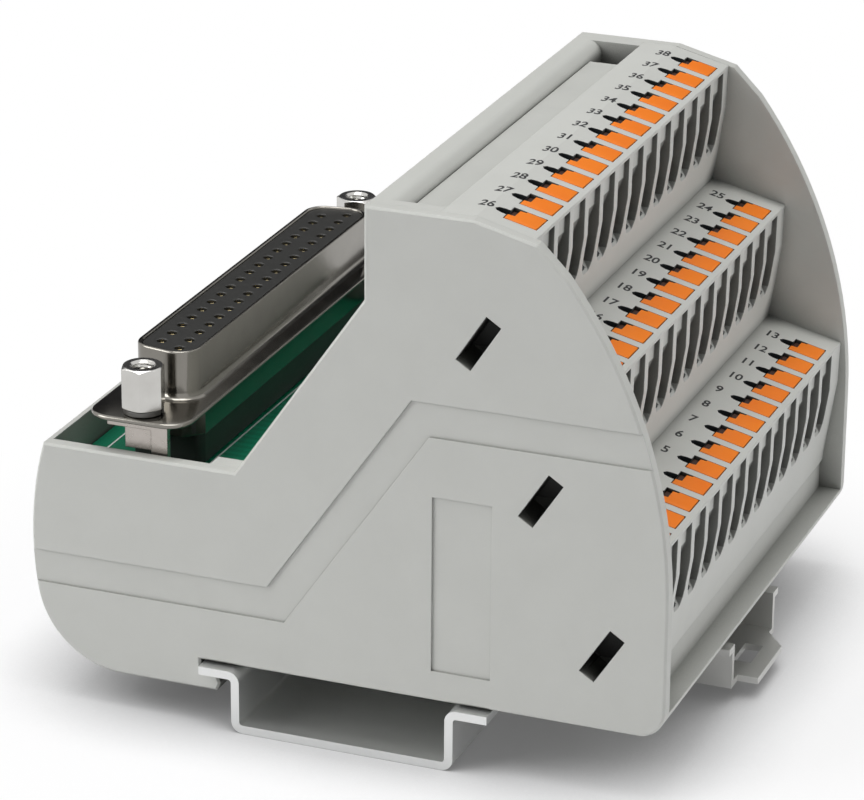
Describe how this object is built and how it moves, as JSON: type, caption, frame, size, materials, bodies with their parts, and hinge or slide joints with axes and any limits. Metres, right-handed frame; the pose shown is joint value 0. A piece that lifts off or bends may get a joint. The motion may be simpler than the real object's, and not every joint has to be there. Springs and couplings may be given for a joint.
{
  "type": "din rail interface module",
  "caption": "Interface module latched on a short mounting rail, with a D-shaped connector on a sunken board and stepped terminal rows with sprung push buttons.",
  "frame": {"origin": "middle of the mounting rail's flat underside, halfway along the module", "axes": "+X across the rail towards the terminal rows, +Y along the rail, +Z away from the rail"},
  "size_m": [0.0784, 0.0734, 0.065],
  "materials": {
    "housing_grey": "fine matt moulded",
    "terminal_grey": "fine matt moulded",
    "button_orange": "satin moulded",
    "marker_white": "matt",
    "board_green": "solder mask",
    "connector_nickel": "bright nickel plate",
    "insulator_black": "matt moulded",
    "contact_gold": "gold flash",
    "washer_steel": "dark zinc",
    "bracket_steel": "tin plate",
    "latch_zinc": "zinc plate",
    "rail_zinc": "zinc plate",
    "spring_steel": "bright spring steel"
  },
  "bodies": {
    "rail": {"din_rail": "rail_zinc"},
    "module": {"near_side_plate": "housing_grey", "far_side_plate": "housing_grey", "housing_body": "housing_grey", "marker_strip": "marker_white", "circuit_board": "board_green", "upper_terminal_block": "terminal_grey", "middle_terminal_block": "terminal_grey", "lower_terminal_block": "terminal_grey", "upper_clamp_springs": "spring_steel", "middle_clamp_springs": "spring_steel", "lower_clamp_springs": "spring_steel", "connector_shell": "connector_nickel", "connector_rear_shell": "connector_nickel", "connector_insulator": "insulator_black", "connector_contacts": "contact_gold", "jack_screws": "connector_nickel", "lock_washers": "washer_steel", "connector_brackets": "bracket_steel"},
    "latch": {"foot_latch": "latch_zinc"},
    "upper_button_01": {"upper_button_01": "button_orange"},
    "upper_button_02": {"upper_button_02": "button_orange"},
    "upper_button_03": {"upper_button_03": "button_orange"},
    "upper_button_04": {"upper_button_04": "button_orange"},
    "upper_button_05": {"upper_button_05": "button_orange"},
    "upper_button_06": {"upper_button_06": "button_orange"},
    "upper_button_07": {"upper_button_07": "button_orange"},
    "upper_button_08": {"upper_button_08": "button_orange"},
    "upper_button_09": {"upper_button_09": "button_orange"},
    "upper_button_10": {"upper_button_10": "button_orange"},
    "upper_button_11": {"upper_button_11": "button_orange"},
    "upper_button_12": {"upper_button_12": "button_orange"},
    "upper_button_13": {"upper_button_13": "button_orange"},
    "middle_button_01": {"middle_button_01": "button_orange"},
    "middle_button_02": {"middle_button_02": "button_orange"},
    "middle_button_03": {"middle_button_03": "button_orange"},
    "middle_button_04": {"middle_button_04": "button_orange"},
    "middle_button_05": {"middle_button_05": "button_orange"},
    "middle_button_06": {"middle_button_06": "button_orange"},
    "middle_button_07": {"middle_button_07": "button_orange"},
    "middle_button_08": {"middle_button_08": "button_orange"},
    "middle_button_09": {"middle_button_09": "button_orange"},
    "middle_button_10": {"middle_button_10": "button_orange"},
    "middle_button_11": {"middle_button_11": "button_orange"},
    "middle_button_12": {"middle_button_12": "button_orange"},
    "lower_button_01": {"lower_button_01": "button_orange"},
    "lower_button_02": {"lower_button_02": "button_orange"},
    "lower_button_03": {"lower_button_03": "button_orange"},
    "lower_button_04": {"lower_button_04": "button_orange"},
    "lower_button_05": {"lower_button_05": "button_orange"},
    "lower_button_06": {"lower_button_06": "button_orange"},
    "lower_button_07": {"lower_button_07": "button_orange"},
    "lower_button_08": {"lower_button_08": "button_orange"},
    "lower_button_09": {"lower_button_09": "button_orange"},
    "lower_button_10": {"lower_button_10": "button_orange"},
    "lower_button_11": {"lower_button_11": "button_orange"},
    "lower_button_12": {"lower_button_12": "button_orange"},
    "lower_button_13": {"lower_button_13": "button_orange"}
  },
  "joints": [
    {"name": "module_slide", "type": "slide", "parent": "rail", "child": "module", "axis": [0, 1, 0], "range_m": [-0.015, 0.015]},
    {"name": "latch_slide", "type": "slide", "parent": "module", "child": "latch", "axis": [1, 0, 0], "range_m": [0, 0.0025], "stiffness_N_per_m": 2000, "springref_m": -0.001},
    {"name": "upper_button_01_press", "type": "slide", "parent": "module", "child": "upper_button_01", "axis": [-0.2413, 0, -0.9705], "range_m": [0, 0.0012], "stiffness_N_per_m": 500, "springref_m": -0.0004},
    {"name": "upper_button_02_press", "type": "slide", "parent": "module", "child": "upper_button_02", "axis": [-0.2413, 0, -0.9705], "range_m": [0, 0.0012], "stiffness_N_per_m": 500, "springref_m": -0.0004},
    {"name": "upper_button_03_press", "type": "slide", "parent": "module", "child": "upper_button_03", "axis": [-0.2413, 0, -0.9705], "range_m": [0, 0.0012], "stiffness_N_per_m": 500, "springref_m": -0.0004},
    {"name": "upper_button_04_press", "type": "slide", "parent": "module", "child": "upper_button_04", "axis": [-0.2413, 0, -0.9705], "range_m": [0, 0.0012], "stiffness_N_per_m": 500, "springref_m": -0.0004},
    {"name": "upper_button_05_press", "type": "slide", "parent": "module", "child": "upper_button_05", "axis": [-0.2413, 0, -0.9705], "range_m": [0, 0.0012], "stiffness_N_per_m": 500, "springref_m": -0.0004},
    {"name": "upper_button_06_press", "type": "slide", "parent": "module", "child": "upper_button_06", "axis": [-0.2413, 0, -0.9705], "range_m": [0, 0.0012], "stiffness_N_per_m": 500, "springref_m": -0.0004},
    {"name": "upper_button_07_press", "type": "slide", "parent": "module", "child": "upper_button_07", "axis": [-0.2413, 0, -0.9705], "range_m": [0, 0.0012], "stiffness_N_per_m": 500, "springref_m": -0.0004},
    {"name": "upper_button_08_press", "type": "slide", "parent": "module", "child": "upper_button_08", "axis": [-0.2413, 0, -0.9705], "range_m": [0, 0.0012], "stiffness_N_per_m": 500, "springref_m": -0.0004},
    {"name": "upper_button_09_press", "type": "slide", "parent": "module", "child": "upper_button_09", "axis": [-0.2413, 0, -0.9705], "range_m": [0, 0.0012], "stiffness_N_per_m": 500, "springref_m": -0.0004},
    {"name": "upper_button_10_press", "type": "slide", "parent": "module", "child": "upper_button_10", "axis": [-0.2413, 0, -0.9705], "range_m": [0, 0.0012], "stiffness_N_per_m": 500, "springref_m": -0.0004},
    {"name": "upper_button_11_press", "type": "slide", "parent": "module", "child": "upper_button_11", "axis": [-0.2413, 0, -0.9705], "range_m": [0, 0.0012], "stiffness_N_per_m": 500, "springref_m": -0.0004},
    {"name": "upper_button_12_press", "type": "slide", "parent": "module", "child": "upper_button_12", "axis": [-0.2413, 0, -0.9705], "range_m": [0, 0.0012], "stiffness_N_per_m": 500, "springref_m": -0.0004},
    {"name": "upper_button_13_press", "type": "slide", "parent": "module", "child": "upper_button_13", "axis": [-0.2413, 0, -0.9705], "range_m": [0, 0.0012], "stiffness_N_per_m": 500, "springref_m": -0.0004},
    {"name": "middle_button_01_press", "type": "slide", "parent": "module", "child": "middle_button_01", "axis": [-0.2413, 0, -0.9705], "range_m": [0, 0.0012], "stiffness_N_per_m": 500, "springref_m": -0.0004},
    {"name": "middle_button_02_press", "type": "slide", "parent": "module", "child": "middle_button_02", "axis": [-0.2413, 0, -0.9705], "range_m": [0, 0.0012], "stiffness_N_per_m": 500, "springref_m": -0.0004},
    {"name": "middle_button_03_press", "type": "slide", "parent": "module", "child": "middle_button_03", "axis": [-0.2413, 0, -0.9705], "range_m": [0, 0.0012], "stiffness_N_per_m": 500, "springref_m": -0.0004},
    {"name": "middle_button_04_press", "type": "slide", "parent": "module", "child": "middle_button_04", "axis": [-0.2413, 0, -0.9705], "range_m": [0, 0.0012], "stiffness_N_per_m": 500, "springref_m": -0.0004},
    {"name": "middle_button_05_press", "type": "slide", "parent": "module", "child": "middle_button_05", "axis": [-0.2413, 0, -0.9705], "range_m": [0, 0.0012], "stiffness_N_per_m": 500, "springref_m": -0.0004},
    {"name": "middle_button_06_press", "type": "slide", "parent": "module", "child": "middle_button_06", "axis": [-0.2413, 0, -0.9705], "range_m": [0, 0.0012], "stiffness_N_per_m": 500, "springref_m": -0.0004},
    {"name": "middle_button_07_press", "type": "slide", "parent": "module", "child": "middle_button_07", "axis": [-0.2413, 0, -0.9705], "range_m": [0, 0.0012], "stiffness_N_per_m": 500, "springref_m": -0.0004},
    {"name": "middle_button_08_press", "type": "slide", "parent": "module", "child": "middle_button_08", "axis": [-0.2413, 0, -0.9705], "range_m": [0, 0.0012], "stiffness_N_per_m": 500, "springref_m": -0.0004},
    {"name": "middle_button_09_press", "type": "slide", "parent": "module", "child": "middle_button_09", "axis": [-0.2413, 0, -0.9705], "range_m": [0, 0.0012], "stiffness_N_per_m": 500, "springref_m": -0.0004},
    {"name": "middle_button_10_press", "type": "slide", "parent": "module", "child": "middle_button_10", "axis": [-0.2413, 0, -0.9705], "range_m": [0, 0.0012], "stiffness_N_per_m": 500, "springref_m": -0.0004},
    {"name": "middle_button_11_press", "type": "slide", "parent": "module", "child": "middle_button_11", "axis": [-0.2413, 0, -0.9705], "range_m": [0, 0.0012], "stiffness_N_per_m": 500, "springref_m": -0.0004},
    {"name": "middle_button_12_press", "type": "slide", "parent": "module", "child": "middle_button_12", "axis": [-0.2413, 0, -0.9705], "range_m": [0, 0.0012], "stiffness_N_per_m": 500, "springref_m": -0.0004},
    {"name": "lower_button_01_press", "type": "slide", "parent": "module", "child": "lower_button_01", "axis": [-0.2413, 0, -0.9705], "range_m": [0, 0.0012], "stiffness_N_per_m": 500, "springref_m": -0.0004},
    {"name": "lower_button_02_press", "type": "slide", "parent": "module", "child": "lower_button_02", "axis": [-0.2413, 0, -0.9705], "range_m": [0, 0.0012], "stiffness_N_per_m": 500, "springref_m": -0.0004},
    {"name": "lower_button_03_press", "type": "slide", "parent": "module", "child": "lower_button_03", "axis": [-0.2413, 0, -0.9705], "range_m": [0, 0.0012], "stiffness_N_per_m": 500, "springref_m": -0.0004},
    {"name": "lower_button_04_press", "type": "slide", "parent": "module", "child": "lower_button_04", "axis": [-0.2413, 0, -0.9705], "range_m": [0, 0.0012], "stiffness_N_per_m": 500, "springref_m": -0.0004},
    {"name": "lower_button_05_press", "type": "slide", "parent": "module", "child": "lower_button_05", "axis": [-0.2413, 0, -0.9705], "range_m": [0, 0.0012], "stiffness_N_per_m": 500, "springref_m": -0.0004},
    {"name": "lower_button_06_press", "type": "slide", "parent": "module", "child": "lower_button_06", "axis": [-0.2413, 0, -0.9705], "range_m": [0, 0.0012], "stiffness_N_per_m": 500, "springref_m": -0.0004},
    {"name": "lower_button_07_press", "type": "slide", "parent": "module", "child": "lower_button_07", "axis": [-0.2413, 0, -0.9705], "range_m": [0, 0.0012], "stiffness_N_per_m": 500, "springref_m": -0.0004},
    {"name": "lower_button_08_press", "type": "slide", "parent": "module", "child": "lower_button_08", "axis": [-0.2413, 0, -0.9705], "range_m": [0, 0.0012], "stiffness_N_per_m": 500, "springref_m": -0.0004},
    {"name": "lower_button_09_press", "type": "slide", "parent": "module", "child": "lower_button_09", "axis": [-0.2413, 0, -0.9705], "range_m": [0, 0.0012], "stiffness_N_per_m": 500, "springref_m": -0.0004},
    {"name": "lower_button_10_press", "type": "slide", "parent": "module", "child": "lower_button_10", "axis": [-0.2413, 0, -0.9705], "range_m": [0, 0.0012], "stiffness_N_per_m": 500, "springref_m": -0.0004},
    {"name": "lower_button_11_press", "type": "slide", "parent": "module", "child": "lower_button_11", "axis": [-0.2413, 0, -0.9705], "range_m": [0, 0.0012], "stiffness_N_per_m": 500, "springref_m": -0.0004},
    {"name": "lower_button_12_press", "type": "slide", "parent": "module", "child": "lower_button_12", "axis": [-0.2413, 0, -0.9705], "range_m": [0, 0.0012], "stiffness_N_per_m": 500, "springref_m": -0.0004},
    {"name": "lower_button_13_press", "type": "slide", "parent": "module", "child": "lower_button_13", "axis": [-0.2413, 0, -0.9705], "range_m": [0, 0.0012], "stiffness_N_per_m": 500, "springref_m": -0.0004}
  ]
}
